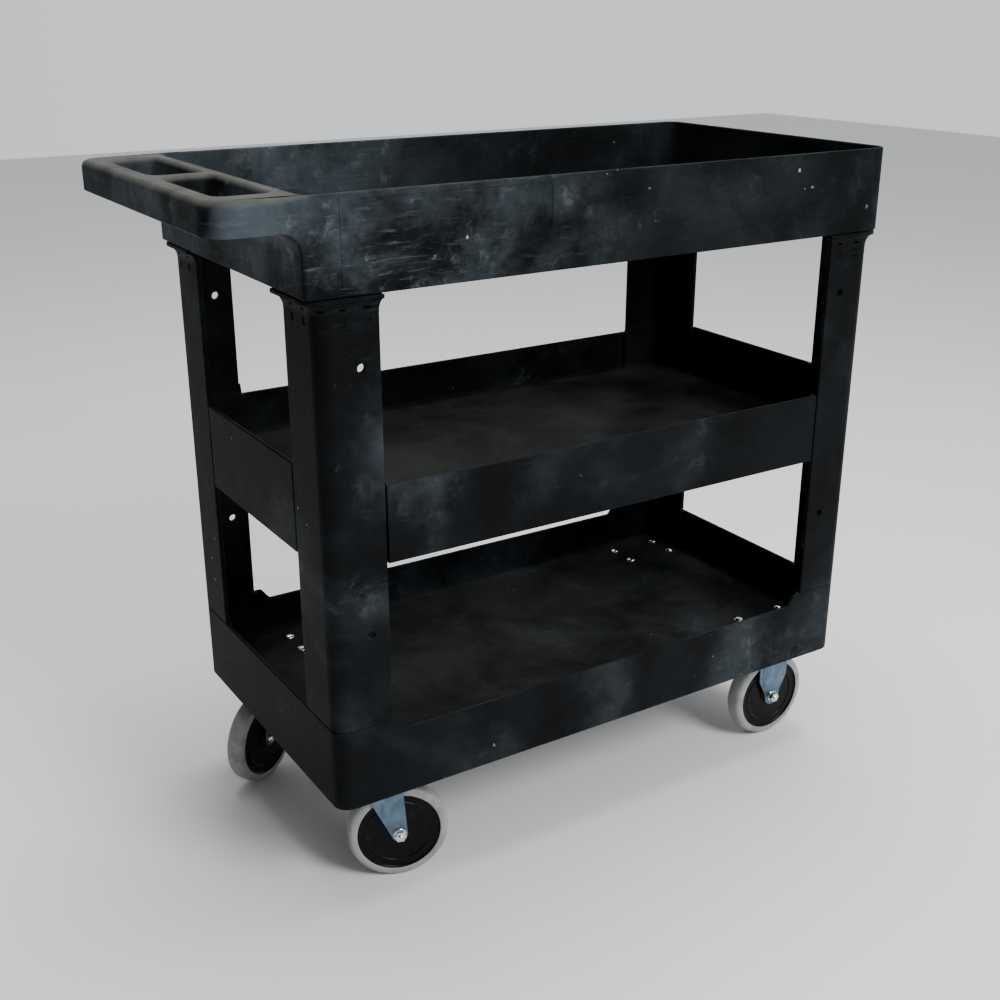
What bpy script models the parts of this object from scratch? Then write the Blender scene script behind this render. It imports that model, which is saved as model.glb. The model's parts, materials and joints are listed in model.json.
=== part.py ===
"""Rolling utility cart: three moulded trays on four corner posts, with two swivel and two rigid casters.

The cart stands on z = 0. Its length runs along X with the push handle at -X, and its width along Y.
Front is +X, rear is the handle end, and left is +Y. Lengths are in metres.
"""

import math

import bmesh
import bpy
from mathutils import Matrix, Vector

MM = 0.001
GAP = 0.3 * MM  # clearance between pieces that touch on the real cart

# Plan sizes, from the middle of the four posts
FRAME_HALF_X = 395 * MM  # the outer faces of the posts and of the two lower trays
FRAME_HALF_Y = 211 * MM
TOP_HALF_X = 407 * MM
TOP_HALF_Y = 215 * MM
HANDLE_END_X = 502 * MM
CENTRE_X = (HANDLE_END_X - TOP_HALF_X) / 2  # puts the middle of the whole length on x = 0

# Heights: each tray's skirt edge, deck and rims
BOTTOM_LOW = 146.5 * MM
MIDDLE_LOW = 447 * MM
TOP_LOW = 751 * MM
DECK_RISE = 36 * MM  # from the skirt edge to the deck's upper face
DECK_THICKNESS = 5 * MM
SIDE_RIM_RISE = 87 * MM  # on the bottom tray
MIDDLE_SIDE_RIM_RISE = 92 * MM
END_RIM_STEP = 15.5 * MM  # the end rims and corners stand this much above the side rims
END_RIM_X = 313 * MM  # where the bottom tray's raised corners start
END_RIM_SLOPE = 12 * MM
TOP_RIM = 855 * MM
WALL = 4.5 * MM
TRAY_CORNER = 19 * MM
RIB = 4 * MM
RIB_INSET = 3 * MM  # the ribs stop this much above the skirt edge
RIB_SPACING_X = 200 * MM
STEP_DRAFT = 1 * MM  # the short walls at the tray corners slant by this much
STEP_TAPER = 0.2 * MM  # and the stepped corners deepen by this much towards them

# Handle
HANDLE_THICKNESS = 35 * MM
HANDLE_CORNER = 28 * MM
HANDLE_COVE = 27 * MM
POCKET_X = (-476 * MM, -419 * MM)
POCKET_Y = (13 * MM, 175 * MM)
POCKET_CORNER = 7 * MM

# Corner posts
LEG = 6 * MM
LEG_X = 72 * MM  # length of the leg on the long side
LEG_Y = 82 * MM  # length of the leg on the end
TENON_INSET = 2.5 * MM
TENON_SHOULDER = 0.5 * MM  # on the inner face
TENON_DEPTH = 34 * MM
TENON_END_INSET = 4 * MM
COVE_HEIGHT = 16 * MM
COLLAR_HEIGHT = 4 * MM
COLLAR_END_FLARE = 5 * MM  # the collar spreads this much past the post's end faces
SOCKET_WALL = 3.5 * MM
HOLE_RADIUS = 5 * MM
HOLE_FROM_FACE = 49 * MM  # from the cart's end face to the accessory holes
HOLE_HEIGHTS = (366 * MM, 674 * MM)
WINDOW = (9 * MM, 4 * MM)
WINDOW_HEIGHT = 738 * MM
WINDOW_STEPS = (29 * MM, 58 * MM)  # from the cart's end face or side face

# Casters
CASTER_X = 328 * MM
CASTER_Y = 151 * MM
WHEEL_RADIUS = 63.5 * MM
TREAD_HALF_WIDTH = 13 * MM
TREAD_INNER = 52.7 * MM
HUB_HALF_WIDTH = 12.3 * MM
HUB_BOSS = 13.8 * MM  # half the length of the hub's middle
TRAIL = 33 * MM
PLATE_TOP = 156.7 * MM
PLATE_THICKNESS = 3 * MM
PLATE_SIZE = (98 * MM, 64 * MM)
BOLT_SPACING = (79 * MM, 44 * MM)
BOLT_RADIUS = 4 * MM
BOLT_HEAD_RADIUS = 8 * MM
BOLT_HOLE_RADIUS = BOLT_RADIUS + GAP
PAD_SIZE = (104 * MM, 70 * MM)
CROWN_TOP = 142 * MM
STEEL = 2.5 * MM
FORK_HALF_GAP = 14.6 * MM
FORK_HALF_OUTER = FORK_HALF_GAP + STEEL
AXLE_RADIUS = 4 * MM
BUSH_RADIUS = 6 * MM
KINGPIN_RADIUS = 6 * MM
BEARING_RADIUS = 26 * MM
FORK_TIP = 10 * MM
REAR_HEADINGS = {"rear_right": -18.0, "rear_left": 211.0}  # the way each swivel caster trails, in degrees

ARC_STEPS = 4
WHEEL_STEPS = 32
SMALL_STEPS = 12


def clear_scene():
    for thing in list(bpy.data.objects):
        bpy.data.objects.remove(thing, do_unlink=True)


def new_collection(name):
    made = bpy.data.collections.new(name)
    bpy.context.scene.collection.children.link(made)
    return made


def principled(name, colour, roughness, metallic=0.0):
    made = bpy.data.materials.new(name)
    made.use_nodes = True
    shader = made.node_tree.nodes["Principled BSDF"]
    shader.inputs["Base Color"].default_value = (*colour, 1.0)
    shader.inputs["Roughness"].default_value = roughness
    shader.inputs["Metallic"].default_value = metallic
    made.diffuse_color = (*colour, 1.0)
    return made


clear_scene()
CART = new_collection("utility_cart")
CUTTERS = new_collection("cutters")
MOULDED = principled("moulded_plastic", (0.07, 0.075, 0.08), 0.5)
ZINC = principled("zinc_steel", (0.62, 0.66, 0.70), 0.32, 1.0)
BRIGHT = principled("bright_bolts", (0.75, 0.75, 0.74), 0.25, 1.0)
NYLON = principled("hub_plastic", (0.015, 0.015, 0.016), 0.3)
TREAD = principled("grey_tread", (0.62, 0.62, 0.61), 0.6)


def new_empty(name, parent=None, location=(0, 0, 0), heading=0.0):
    made = bpy.data.objects.new(name, None)
    CART.objects.link(made)
    made.parent = parent
    made.location = location
    made.rotation_euler = (0, 0, heading)
    return made


ROOT = new_empty("cart_frame", location=(CENTRE_X, 0, 0))


def place(piece, material, parent=ROOT):
    """Makes a shape one of the cart's pieces."""
    piece.data.materials.clear()
    piece.data.materials.append(material)
    piece.parent = parent
    CUTTERS.objects.unlink(piece)
    CART.objects.link(piece)
    piece.hide_render = False
    piece.display_type = "TEXTURED"
    return piece


def new_guide(name, mesh, parent=ROOT):
    """A shape that cuts or joins others; place() turns one into a piece."""
    made = bpy.data.objects.new(name, mesh)
    CUTTERS.objects.link(made)
    made.parent = parent
    made.hide_render = True
    made.display_type = "WIRE"
    return made


def combine(piece, operation, *others):
    for other in others:
        step = piece.modifiers.new(other.name, "BOOLEAN")
        step.operation = operation
        step.solver = "EXACT"
        step.object = other
    return piece


def cut(piece, *others):
    return combine(piece, "DIFFERENCE", *others)


def join(piece, *others):
    return combine(piece, "UNION", *others)


def round_corners(corners, steps=ARC_STEPS):
    """The outline through (x, y, radius) corners, with an arc of that radius at each."""
    outline = []
    for index, (x, y, radius) in enumerate(corners):
        here = Vector((x, y))
        back = (Vector(corners[index - 1][:2]) - here).normalized()
        ahead = (Vector(corners[(index + 1) % len(corners)][:2]) - here).normalized()
        if radius <= 0:
            outline.append((x, y))
            continue
        half = back.angle(ahead) / 2
        start = here + back * radius / math.tan(half)
        centre = here + (back + ahead).normalized() * radius / math.sin(half)
        first = start - centre
        sweep = (math.pi - 2 * half) * (1 if back.cross(ahead) < 0 else -1)
        for step in range(steps + 1):
            turn = sweep * step / steps
            c, s = math.cos(turn), math.sin(turn)
            outline.append((centre.x + first.x * c - first.y * s, centre.y + first.x * s + first.y * c))
    return outline


def rectangle(half_x, half_y, radius):
    signs = ((-1, -1), (1, -1), (1, 1), (-1, 1))
    return round_corners([(sx * half_x, sy * half_y, radius) for sx, sy in signs])


def prism(name, outline, low, high, along="Z", parent=ROOT):
    """A flat outline swept from low to high along Z, or along Y or X with the outline in (x, z) or (y, z)."""
    curve = bpy.data.curves.new(name, "CURVE")
    curve.dimensions = "2D"
    curve.fill_mode = "BOTH"
    curve.extrude = (high - low) / 2
    spline = curve.splines.new("POLY")
    spline.points.add(len(outline) - 1)
    for point, (x, y) in zip(spline.points, outline):
        point.co = (x, y, 0, 1)
    spline.use_cyclic_u = True
    flat = bpy.data.objects.new(name, curve)
    CUTTERS.objects.link(flat)
    bpy.context.view_layer.update()
    mesh = bpy.data.meshes.new_from_object(flat.evaluated_get(bpy.context.evaluated_depsgraph_get()))
    bpy.data.objects.remove(flat, do_unlink=True)
    turns = {"Z": Matrix.Identity(4), "Y": Matrix.Rotation(math.pi / 2, 4, "X")}
    turns["X"] = Matrix(((0, 0, 1, 0), (1, 0, 0, 0), (0, 1, 0, 0), (0, 0, 0, 1)))
    shift = Vector((0, 0, 0))
    shift["XYZ".index(along)] = (low + high) / 2
    work = bmesh.new()
    work.from_mesh(mesh)
    bmesh.ops.remove_doubles(work, verts=work.verts, dist=1e-6)
    # A curve's fill can pass over points that lie on one line, so each cap is filled again as one face.
    caps = [face for face in work.faces if abs(face.normal.z) > 0.5]
    bmesh.ops.delete(work, geom=caps, context="FACES")
    bmesh.ops.holes_fill(work, edges=[edge for edge in work.edges if edge.is_boundary], sides=0)
    bmesh.ops.transform(work, matrix=Matrix.Translation(shift) @ turns[along], verts=work.verts)
    bmesh.ops.recalc_face_normals(work, faces=work.faces)
    work.to_mesh(mesh)
    work.free()
    mesh.name = name
    return new_guide(name, mesh, parent)


def boxes(name, spans, parent=ROOT):
    """One mesh of separate boxes, each given as ((x0, x1), (y0, y1), (z0, z1))."""
    work = bmesh.new()
    for span in spans:
        middle = Vector([(a + b) / 2 for a, b in span])
        size = Vector([b - a for a, b in span])
        bmesh.ops.create_cube(work, size=1, matrix=Matrix.Translation(middle) @ Matrix.Diagonal((*size, 1)))
    mesh = bpy.data.meshes.new(name)
    work.to_mesh(mesh)
    work.free()
    return new_guide(name, mesh, parent)


def rods(name, centres, radius, low, high, along="Z", parent=ROOT):
    """One mesh of separate round rods, each given by its (x, y), or along Y by its (x, z)."""
    turn = Matrix.Rotation(math.pi / 2, 4, "X") if along == "Y" else Matrix.Identity(4)
    work = bmesh.new()
    for a, b in centres:
        middle = (a, b, (low + high) / 2) if along == "Z" else (a, (low + high) / 2, b)
        bmesh.ops.create_cone(
            work,
            cap_ends=True,
            segments=SMALL_STEPS,
            radius1=radius,
            radius2=radius,
            depth=high - low,
            matrix=Matrix.Translation(middle) @ turn,
        )
    mesh = bpy.data.meshes.new(name)
    work.to_mesh(mesh)
    work.free()
    return new_guide(name, mesh, parent)


def turned(name, profile, material, parent, steps, along_y=False, closed=False):
    """A turned piece. The profile is (radius, height), down its outer side, and closed for a ring."""
    mesh = bpy.data.meshes.new(name)
    points = [(radius, 0, height) for radius, height in profile]
    last = len(points) - 1
    edges = [(i, i + 1) for i in range(last)] + ([(last, 0)] if closed else [])
    mesh.from_pydata(points, edges, [])
    made = place(new_guide(name, mesh), material, parent)
    screw = made.modifiers.new("turn", "SCREW")
    screw.axis = "Z"
    screw.steps = steps
    screw.render_steps = steps
    screw.use_merge_vertices = True
    screw.merge_threshold = 0.00001
    screw.use_smooth_shade = True
    made.rotation_euler = (-math.pi / 2, 0, 0) if along_y else (0, 0, 0)
    return made


# Trays


def stepped_outline(half_x, half_y, step_x, step_y, depth, radius):
    """A rectangle whose corners step in by depth, beyond step_x along the sides and step_y along the ends."""
    quarter = [
        (half_x, step_y, 0),
        (half_x - depth - STEP_TAPER, step_y + STEP_DRAFT, 0),
        (half_x - depth, half_y - depth, radius),
        (step_x + STEP_DRAFT, half_y - depth - STEP_TAPER, 0),
        (step_x, half_y, 0),
    ]
    corners = list(quarter)
    corners += [(-x, y, r) for x, y, r in reversed(quarter)]
    corners += [(-x, -y, r) for x, y, r in quarter]
    corners += [(x, -y, r) for x, y, r in reversed(quarter)]
    return round_corners(corners)


def side_rim_cut(name, side_rim, half_y, outer, slope):
    """What is taken off the long sides, between raised corners that start at x = outer."""
    top = side_rim + 2 * END_RIM_STEP
    start = outer - slope
    corners = [
        (-start, side_rim, slope * 2 / 3),
        (start, side_rim, slope * 2 / 3),
        (outer, side_rim + END_RIM_STEP, 0),
        (outer, top, 0),
        (-outer, top, 0),
        (-outer, side_rim + END_RIM_STEP, 0),
    ]
    return prism(name, round_corners(corners), -half_y - WALL, half_y + WALL, along="Y")


def add_ribs(tray, name, half_x, half_y, low):
    """Stiffening ribs under the deck: three across and one along."""
    under_deck = (low + RIB_INSET, low + DECK_RISE - DECK_THICKNESS / 2)
    across_y = (-half_y + WALL / 2, half_y - WALL / 2)
    across = [((x - RIB / 2, x + RIB / 2), across_y, under_deck) for x in (-RIB_SPACING_X, 0, RIB_SPACING_X)]
    shallower = (under_deck[0] + RIB_INSET, under_deck[1] - DECK_THICKNESS / 4)
    lengthways = [((-half_x + WALL / 3, half_x - WALL / 3), (-RIB / 2, RIB / 2), shallower)]
    join(tray, boxes(name + "_ribs_across", across), boxes(name + "_rib_along", lengthways))


def make_bottom_tray():
    low = BOTTOM_LOW
    side_rim = low + SIDE_RIM_RISE
    rim = side_rim + END_RIM_STEP
    deck = low + DECK_RISE
    outline = rectangle(FRAME_HALF_X, FRAME_HALF_Y, TRAY_CORNER)
    tray = place(prism("bottom_shelf", outline, low, rim), MOULDED)
    socket = LEG + SOCKET_WALL  # the wall is this thick where it holds a post
    inside = stepped_outline(
        FRAME_HALF_X - WALL,
        FRAME_HALF_Y - WALL,
        FRAME_HALF_X - LEG_X - SOCKET_WALL,
        FRAME_HALF_Y - LEG_Y - SOCKET_WALL,
        socket - WALL,
        TRAY_CORNER - socket,
    )
    skirt = rectangle(FRAME_HALF_X - WALL, FRAME_HALF_Y - WALL, TRAY_CORNER - WALL)
    cut(
        tray,
        prism("bottom_inside", inside, deck, rim + WALL),
        prism("bottom_skirt", skirt, low - WALL, deck - DECK_THICKNESS),
        side_rim_cut("bottom_side_rims", side_rim, FRAME_HALF_Y, END_RIM_X, END_RIM_SLOPE),
    )
    for sx in (-1, 1):
        for sy in (-1, 1):
            depth = LEG - TENON_SHOULDER + GAP
            outline = post_outline(sx, sy, TENON_INSET - GAP, depth, TENON_END_INSET - GAP)
            cut(tray, prism("post_socket", outline, rim - TENON_DEPTH - GAP, rim + WALL))
    add_ribs(tray, "bottom", FRAME_HALF_X, FRAME_HALF_Y, low)
    pads = [
        (
            (sx * CASTER_X - PAD_SIZE[0] / 2, sx * CASTER_X + PAD_SIZE[0] / 2),
            (sy * CASTER_Y - PAD_SIZE[1] / 2, sy * CASTER_Y + PAD_SIZE[1] / 2),
            (PLATE_TOP + GAP, deck - DECK_THICKNESS / 2),
        )
        for sx in (-1, 1)
        for sy in (-1, 1)
    ]
    join(tray, boxes("caster_pads", pads))
    cut(tray, rods("bolt_holes", bolt_places(), BOLT_HOLE_RADIUS, low, rim))


def make_middle_tray():
    low = MIDDLE_LOW
    side_rim = low + MIDDLE_SIDE_RIM_RISE
    rim = side_rim + END_RIM_STEP
    deck = low + DECK_RISE
    notch = LEG + GAP
    step_x = FRAME_HALF_X - LEG_X - GAP - STEP_DRAFT
    step_y = FRAME_HALF_Y - LEG_Y - GAP - STEP_DRAFT
    outline = stepped_outline(FRAME_HALF_X, FRAME_HALF_Y, step_x, step_y, notch, TRAY_CORNER - notch)
    tray = place(prism("middle_shelf", outline, low, rim), MOULDED)
    inside = stepped_outline(
        FRAME_HALF_X - WALL,
        FRAME_HALF_Y - WALL,
        step_x - WALL,
        step_y - WALL,
        notch,
        TRAY_CORNER - notch - WALL,
    )
    cut(
        tray,
        prism("middle_inside", inside, deck, rim + WALL),
        prism("middle_skirt", inside, low - WALL, deck - DECK_THICKNESS),
        side_rim_cut("middle_side_rims", side_rim, FRAME_HALF_Y, step_x - STEP_DRAFT, 2 * MM),
    )
    add_ribs(tray, "middle", FRAME_HALF_X, FRAME_HALF_Y, low)


def make_top_tray():
    deck = TOP_LOW + DECK_RISE
    rear_corner = 5 * MM
    corners = [
        (-TOP_HALF_X, -TOP_HALF_Y, rear_corner),
        (TOP_HALF_X, -TOP_HALF_Y, TRAY_CORNER),
        (TOP_HALF_X, TOP_HALF_Y, TRAY_CORNER),
        (-TOP_HALF_X, TOP_HALF_Y, rear_corner),
    ]
    tray = place(prism("top_shelf", round_corners(corners), TOP_LOW, TOP_RIM), MOULDED)
    overlap = 2 * WALL
    handle_low = TOP_RIM - HANDLE_THICKNESS
    handle_corners = [
        (-HANDLE_END_X, -TOP_HALF_Y, HANDLE_CORNER),
        (-TOP_HALF_X + overlap, -TOP_HALF_Y, 0),
        (-TOP_HALF_X + overlap, TOP_HALF_Y, 0),
        (-HANDLE_END_X, TOP_HALF_Y, HANDLE_CORNER),
    ]
    cove_x = -TOP_HALF_X - HANDLE_COVE
    cove_z = handle_low - HANDLE_COVE
    cove = [(-TOP_HALF_X + overlap, handle_low + overlap), (cove_x, handle_low + overlap)]
    for step in range(ARC_STEPS + 1):
        turn = math.pi / 2 * (1 - step / ARC_STEPS)
        cove.append((cove_x + HANDLE_COVE * math.cos(turn), cove_z + HANDLE_COVE * math.sin(turn)))
    cove.append((-TOP_HALF_X + overlap, cove_z))
    join(
        tray,
        prism("handle", round_corners(handle_corners), handle_low, TOP_RIM),
        prism("handle_cove", cove, -TOP_HALF_Y, TOP_HALF_Y, along="Y"),
    )
    inside = rectangle(TOP_HALF_X - WALL, TOP_HALF_Y - WALL, TRAY_CORNER - WALL)
    cut(
        tray,
        prism("top_inside", inside, deck, TOP_RIM + WALL),
        prism("top_skirt", inside, TOP_LOW - WALL, deck - DECK_THICKNESS),
    )
    middle_x = sum(POCKET_X) / 2
    half_x = (POCKET_X[1] - POCKET_X[0]) / 2
    middle_y = sum(POCKET_Y) / 2
    half_y = (POCKET_Y[1] - POCKET_Y[0]) / 2
    for side in (-1, 1):
        pocket = [(x + middle_x, y + side * middle_y) for x, y in rectangle(half_x, half_y, POCKET_CORNER)]
        cut(tray, prism("handle_pocket", pocket, cove_z - WALL, TOP_RIM + WALL))
    add_ribs(tray, "top", TOP_HALF_X, TOP_HALF_Y, TOP_LOW)


# Corner posts


def post_outline(sx, sy, inset, depth, end_inset, flare=(0.0, 0.0)):
    """The L section of the post at one corner: its outer faces are inset from the frame's, and depth is
    measured from the frame's face to the inner faces."""
    outer_x = FRAME_HALF_X - inset + flare[0]
    outer_y = FRAME_HALF_Y - inset + flare[1]
    inner_x = FRAME_HALF_X - depth
    inner_y = FRAME_HALF_Y - depth
    end_x = FRAME_HALF_X - LEG_X + end_inset
    end_y = FRAME_HALF_Y - LEG_Y + end_inset
    corners = [
        (outer_x, end_y, 0),
        (outer_x, outer_y, TRAY_CORNER - inset),
        (end_x, outer_y, 0),
        (end_x, inner_y, 0),
        (inner_x, inner_y, TRAY_CORNER - depth),
        (inner_x, end_y, 0),
    ]
    outline = [(sx * x, sy * y) for x, y in round_corners(corners)]
    return outline if sx * sy > 0 else outline[::-1]


def loft(name, sections):
    """A solid through level sections of equal point count, given from the lowest up. Two sections at one
    height make a square shoulder, and the post's cove has no straight sides, so its faces are made here."""
    work = bmesh.new()
    rings = [[work.verts.new((x, y, z)) for x, y in outline] for z, outline in sections]
    for lower, upper in zip(rings, rings[1:]):
        for i, j in zip(range(-1, len(lower) - 1), range(len(lower))):
            work.faces.new((lower[i], lower[j], upper[j], upper[i]))
    work.faces.new(reversed(rings[0]))
    work.faces.new(rings[-1])
    bmesh.ops.recalc_face_normals(work, faces=work.faces)
    mesh = bpy.data.meshes.new(name)
    work.to_mesh(mesh)
    work.free()
    return new_guide(name, mesh)


def make_post(name, sx, sy):
    bottom_seam = BOTTOM_LOW + SIDE_RIM_RISE + END_RIM_STEP + GAP
    top_seam = TOP_LOW - GAP
    tenon = post_outline(sx, sy, TENON_INSET, LEG - TENON_SHOULDER, TENON_END_INSET)
    body = post_outline(sx, sy, 0, LEG, 0)
    sections = [
        (bottom_seam - TENON_DEPTH, tenon),
        (bottom_seam, tenon),
        (bottom_seam, body),
    ]
    flare = Vector((TOP_HALF_X - FRAME_HALF_X, TOP_HALF_Y - FRAME_HALF_Y))
    cove_low = top_seam - COLLAR_HEIGHT - COVE_HEIGHT
    for step in range(ARC_STEPS + 1):
        turn = math.pi / 2 * step / ARC_STEPS
        spread = 1 - math.cos(turn)
        section = post_outline(sx, sy, 0, LEG, -COLLAR_END_FLARE * spread, flare * spread)
        sections.append((cove_low + COVE_HEIGHT * math.sin(turn), section))
    sections.append((top_seam, post_outline(sx, sy, 0, LEG, -COLLAR_END_FLARE, flare)))
    sections.append((top_seam, tenon))
    sections.append((TOP_LOW + DECK_RISE - DECK_THICKNESS - 2 * MM, tenon))
    post = place(loft(name, sections), MOULDED)

    face_y = sorted((sy * (FRAME_HALF_Y - 2 * LEG), sy * (TOP_HALF_Y + LEG)))
    face_x = sorted((sx * (FRAME_HALF_X - 2 * LEG), sx * (TOP_HALF_X + LEG)))
    holes = [(sx * (FRAME_HALF_X - HOLE_FROM_FACE), height) for height in HOLE_HEIGHTS]
    openings = []
    width, tall = WINDOW
    span_z = (WINDOW_HEIGHT - tall / 2, WINDOW_HEIGHT + tall / 2)
    for away in WINDOW_STEPS:
        x = sx * (FRAME_HALF_X - away)
        openings.append(((x - width / 2, x + width / 2), face_y, span_z))
    for away in WINDOW_STEPS:
        y = sy * (FRAME_HALF_Y - away)
        openings.append((face_x, (y - width / 2, y + width / 2), span_z))
    cut(
        post,
        rods(name + "_holes", holes, HOLE_RADIUS, *face_y, along="Y"),
        boxes(name + "_windows", openings),
    )


# Casters


def bolt_places():
    dx, dy = BOLT_SPACING[0] / 2, BOLT_SPACING[1] / 2
    return [
        (sx * CASTER_X + bx * dx, sy * CASTER_Y + by * dy)
        for sx in (-1, 1)
        for sy in (-1, 1)
        for bx in (-1, 1)
        for by in (-1, 1)
    ]


def make_mounting_bolts():
    deck = BOTTOM_LOW + DECK_RISE + GAP
    head = 4.5 * MM
    end = CROWN_TOP + 5 * MM
    profile = [(0, deck + head)]
    for share in (0.5, 0.87):
        profile.append((BOLT_HEAD_RADIUS * share, deck + head * math.sqrt(1 - share**2)))
    profile += [(BOLT_HEAD_RADIUS, deck), (BOLT_RADIUS, deck), (BOLT_RADIUS, end), (0, end)]
    for number, (x, y) in enumerate(bolt_places(), start=1):
        bolt = turned("mounting_bolt_%02d" % number, profile, BRIGHT, ROOT, SMALL_STEPS)
        bolt.location = (x, y, 0)


def plate_shape(name, parent):
    half_x, half_y = PLATE_SIZE[0] / 2, PLATE_SIZE[1] / 2
    outline = rectangle(half_x, half_y, 6 * MM)
    plate = prism(name, outline, PLATE_TOP - PLATE_THICKNESS, PLATE_TOP, parent=parent)
    dx, dy = BOLT_SPACING[0] / 2, BOLT_SPACING[1] / 2
    places = [(sx * dx, sy * dy) for sx in (-1, 1) for sy in (-1, 1)]
    low, high = PLATE_TOP - 2 * LEG, PLATE_TOP + LEG
    return cut(plate, rods(name + "_holes", places, BOLT_HOLE_RADIUS, low, high, parent=parent))


def leg_outline(axle_x, tip_sides):
    """A fork leg's side view: down one edge, round the axle, and up the other. Each side is given by its
    points from the top down to where it meets the round tip."""
    front, back = tip_sides
    axle = Vector((axle_x, WHEEL_RADIUS))

    def tangent(point, side):
        away = Vector(point) - axle
        return math.atan2(away.y, away.x) + side * math.acos(FORK_TIP / away.length)

    start = tangent(front[-1], -1)
    end = tangent(back[-1], 1) - 2 * math.pi
    arc = []
    for step in range(2 * ARC_STEPS + 1):
        turn = start + (end - start) * step / (2 * ARC_STEPS)
        arc.append((axle.x + FORK_TIP * math.cos(turn), axle.y + FORK_TIP * math.sin(turn)))
    return list(front) + arc + list(reversed(back))


def add_legs(piece, name, outline, parent):
    """Joins both legs to a fork or bracket and bores them for the axle."""
    spans = {"right": (-FORK_HALF_OUTER, -FORK_HALF_GAP), "left": (FORK_HALF_GAP, FORK_HALF_OUTER)}
    for side, (low, high) in spans.items():
        join(piece, prism(name + "_leg_" + side, outline, low, high, along="Y", parent=parent))


def bore_axle(piece, name, axle_x, parent):
    hole = rods(name, [(axle_x, WHEEL_RADIUS)], AXLE_RADIUS + GAP, -0.03, 0.03, along="Y", parent=parent)
    return cut(piece, hole)


def make_wheel(name, holder, axle_x):
    """The axle set, which stays with the fork or bracket, and the wheel that turns on it."""
    axle = new_empty(name + "_axle_line", holder, (axle_x, 0, WHEEL_RADIUS))
    wheel = new_empty(name + "_wheel_line", axle)
    seat = FORK_HALF_OUTER + GAP
    end = seat + 9 * MM
    head = [(0, 4.5), (4, 4.1), (6, 2.6), (6.5, 1.2), (6.5, 0)]
    bolt = [(radius * MM, seat + height * MM) for radius, height in head]
    bolt += [(AXLE_RADIUS, seat), (AXLE_RADIUS, -end), (0, -end)]
    shaft = turned(name + "_axle_bolt", bolt, BRIGHT, axle, SMALL_STEPS, along_y=True)
    shaft.rotation_euler = (-math.pi / 2, 0, 0)
    nut_low, nut_high = -seat - 6.5 * MM, -seat
    nut_bore = (AXLE_RADIUS + GAP) / math.cos(math.pi / 6)  # the flats of a six-sided bore clear the bolt
    nut_corner = 7.5 * MM
    nut = [(nut_bore, nut_high), (nut_corner, nut_high), (nut_corner, nut_low), (nut_bore, nut_low)]
    turned(name + "_axle_nut", nut, BRIGHT, axle, 6, along_y=True, closed=True)
    half = FORK_HALF_GAP - GAP
    inner = AXLE_RADIUS + GAP
    bush = [(inner, half), (BUSH_RADIUS, half), (BUSH_RADIUS, -half), (inner, -half)]
    turned(name + "_bush", bush, ZINC, axle, SMALL_STEPS, along_y=True, closed=True)

    bore = BUSH_RADIUS + GAP
    rim = TREAD_INNER - GAP
    face = [(bore, HUB_BOSS), (13 * MM, HUB_BOSS), (15 * MM, HUB_HALF_WIDTH - 2 * MM), (rim, HUB_HALF_WIDTH)]
    hub = face + [(radius, -height) for radius, height in reversed(face)]
    turned(name + "_hub", hub, NYLON, wheel, WHEEL_STEPS, along_y=True, closed=True)
    half = TREAD_HALF_WIDTH
    side = [
        (TREAD_INNER, half),
        (WHEEL_RADIUS - 4.5 * MM, half - 1.2 * MM),
        (WHEEL_RADIUS, half - 6.5 * MM),
    ]
    tread = side + [(radius, -height) for radius, height in reversed(side)]
    turned(name + "_tread", tread, TREAD, wheel, WHEEL_STEPS, along_y=True, closed=True)


def make_swivel_caster(name, sy, heading):
    pivot = new_empty(name + "_pivot", ROOT, (-CASTER_X, sy * CASTER_Y, 0))
    swivel = new_empty(name + "_swivel_line", pivot, heading=math.radians(heading))
    under_plate = PLATE_TOP - PLATE_THICKNESS
    crown_low = CROWN_TOP - STEEL
    hole = KINGPIN_RADIUS + GAP
    kingpin_hole = rods(name + "_pin_hole", [(0, 0)], hole, crown_low - LEG, PLATE_TOP + LEG, parent=pivot)
    place(cut(plate_shape(name + "_top_plate", pivot), kingpin_hole), ZINC, pivot)
    bearing = [(hole, under_plate - GAP), (BEARING_RADIUS, under_plate - GAP)]
    bearing += [(BEARING_RADIUS - 3 * MM, CROWN_TOP + GAP), (hole, CROWN_TOP + GAP)]
    turned(name + "_swivel_bearing", bearing, ZINC, pivot, 2 * SMALL_STEPS, closed=True)
    pin = KINGPIN_RADIUS
    pin_head = [(0, PLATE_TOP), (pin, PLATE_TOP), (pin, crown_low - GAP), (10 * MM, crown_low - GAP)]
    pin_head += [(8 * MM, crown_low - 4.5 * MM), (0, crown_low - 5 * MM)]
    turned(name + "_kingpin", pin_head, ZINC, pivot, SMALL_STEPS)

    crown = [(-27, -27, 26), (22, -27, 10), (38, -17.1, 2), (38, 17.1, 2), (22, 27, 10), (-27, 27, 26)]
    crown = round_corners([(x * MM, y * MM, radius * MM) for x, y, radius in crown])
    fork = prism(name + "_fork", crown, crown_low, CROWN_TOP, parent=swivel)
    top = crown_low + STEEL / 2
    front = [(37.5 * MM, top)]
    back = [(-14 * MM, top)]
    add_legs(fork, name + "_fork", leg_outline(TRAIL, (front, back)), swivel)
    cut(fork, rods(name + "_fork_pin_hole", [(0, 0)], hole, crown_low - LEG, CROWN_TOP + LEG, parent=swivel))
    place(bore_axle(fork, name + "_fork_axle_hole", TRAIL, swivel), ZINC, swivel)
    make_wheel(name, swivel, TRAIL)


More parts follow.
